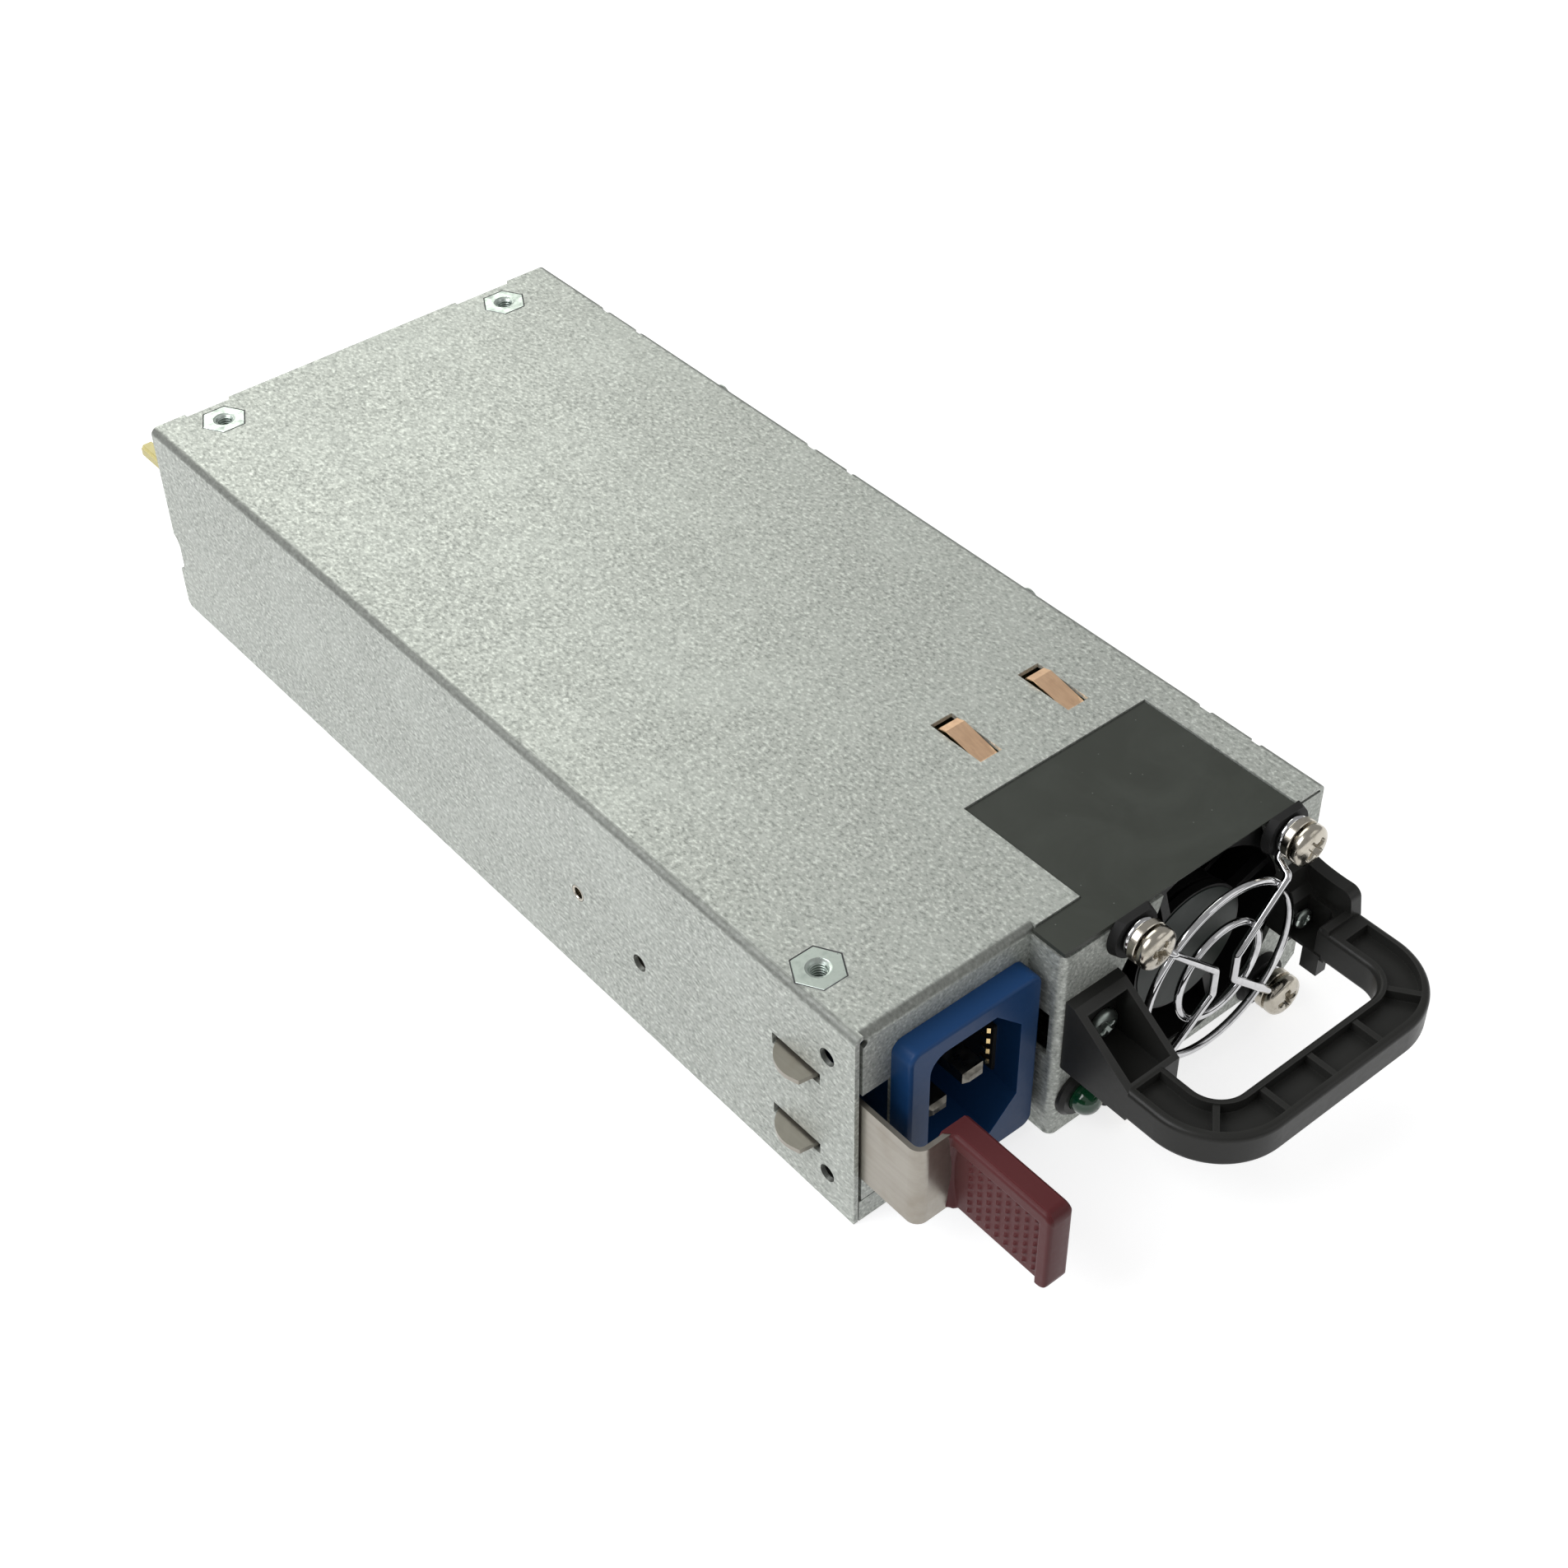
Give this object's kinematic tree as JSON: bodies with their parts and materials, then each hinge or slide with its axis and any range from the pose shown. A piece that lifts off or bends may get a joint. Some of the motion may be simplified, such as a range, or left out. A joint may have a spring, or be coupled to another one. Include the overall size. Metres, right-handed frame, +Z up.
{
  "type": "hot swap power supply",
  "caption": "Slim slide-in server power supply with a blue mains inlet, a fan behind a wire guard, a pull handle, a press-to-release side latch and a rear card edge.",
  "frame": {"origin": "middle of the casing's bottom face, midway between the front flange face and the rear edge of the casing", "axes": "+X to the right seen from the front, +Y to the rear (the way the unit is pushed in), +Z up"},
  "size_m": [0.09, 0.2377, 0.0401],
  "materials": {
    "casing_steel": "dull zinc-coated sheet",
    "spring_steel": "satin",
    "nickel": "bright nickel plate",
    "zinc": "bright zinc plate",
    "wire_chrome": "polished",
    "copper": "satin copper alloy",
    "gold": "gold plated",
    "black_plastic": "fine texture",
    "film_black": "semi-gloss film",
    "inlet_blue": "smooth moulded",
    "tab_red": "smooth moulded",
    "rotor_black": "satin",
    "label_dark": "blank coated paper",
    "rubber_black": "matte",
    "lens_green": "clear moulded",
    "board_pale": "laminate edge",
    "board_green": "solder mask",
    "heatsink_aluminium": "extruded",
    "package_black": "moulded",
    "capacitor_sleeve": "shrunk sleeve",
    "film_yellow": "moulded",
    "ferrite": "ground ferrite",
    "winding_copper": "enamelled wire",
    "tape_yellow": "polyester tape",
    "ceramic": "glazed",
    "lead_black": "sleeved",
    "lead_earth": "sleeved",
    "stator_steel": "wound laminations"
  },
  "bodies": {
    "chassis": {"base_tray": "casing_steel", "cover": "casing_steel", "clinch_standoffs": "zinc", "board_posts": "zinc", "cover_screws": "zinc", "fan_film": "film_black", "inlet_body": "inlet_blue", "inlet_pins": "nickel", "contact_block": "package_black", "inlet_contacts": "gold", "latch_rivet": "zinc", "fan_frame": "rotor_black", "fan_label": "label_dark", "fan_stator": "stator_steel", "fan_bearings": "nickel", "fan_guard": "wire_chrome", "fan_grommets": "rubber_black", "fan_washers": "nickel", "fan_screws": "nickel", "handle": "black_plastic", "handle_screws": "nickel", "lamp_bezel": "black_plastic", "lamp_lens": "lens_green", "main_board": "board_pale", "edge_contacts": "gold", "board_screws": "zinc", "earth_lug": "nickel", "earth_screw": "zinc", "line_leads": "lead_black", "earth_lead": "lead_earth", "fan_leads": "lead_black", "lamp_leads": "lead_black", "side_insulator": "film_black", "floor_insulator": "film_black", "bulk_capacitors": "capacitor_sleeve", "output_capacitors": "capacitor_sleeve", "film_capacitors": "film_yellow", "fuse": "ceramic", "line_choke_core": "ferrite", "line_choke_windings": "winding_copper", "boost_choke_core": "ferrite", "boost_choke_windings": "winding_copper", "transformer_core": "ferrite", "transformer_winding": "tape_yellow", "primary_heatsink": "heatsink_aluminium", "secondary_heatsink": "heatsink_aluminium", "power_transistors": "package_black", "control_card": "board_green"},
    "latch": {"latch_spring": "spring_steel", "latch_tab": "tab_red"},
    "rotor": {"fan_rotor": "rotor_black"},
    "ground_left": {"ground_spring_left": "copper"},
    "ground_right": {"ground_spring_right": "copper"}
  },
  "joints": [
    {"name": "fan_spin", "type": "hinge", "parent": "chassis", "child": "rotor", "pos_m": [0.0183, -0.085, 0.01985], "axis": [0, 1, 0], "continuous": true},
    {"name": "latch_press", "type": "hinge", "parent": "chassis", "child": "latch", "pos_m": [-0.0417, -0.0274, 0.0177], "axis": [0, 0, 1], "range_deg": [0, 3.4], "stiffness_Nm_per_rad": 20},
    {"name": "left_leaf_press", "type": "hinge", "parent": "chassis", "child": "ground_left", "pos_m": [0.0099, -0.0645, 0.03858], "axis": [-1, 0, 0], "range_deg": [0, 5], "stiffness_Nm_per_rad": 0.35},
    {"name": "right_leaf_press", "type": "hinge", "parent": "chassis", "child": "ground_right", "pos_m": [0.0283, -0.0645, 0.03858], "axis": [-1, 0, 0], "range_deg": [0, 5], "stiffness_Nm_per_rad": 0.35}
  ]
}
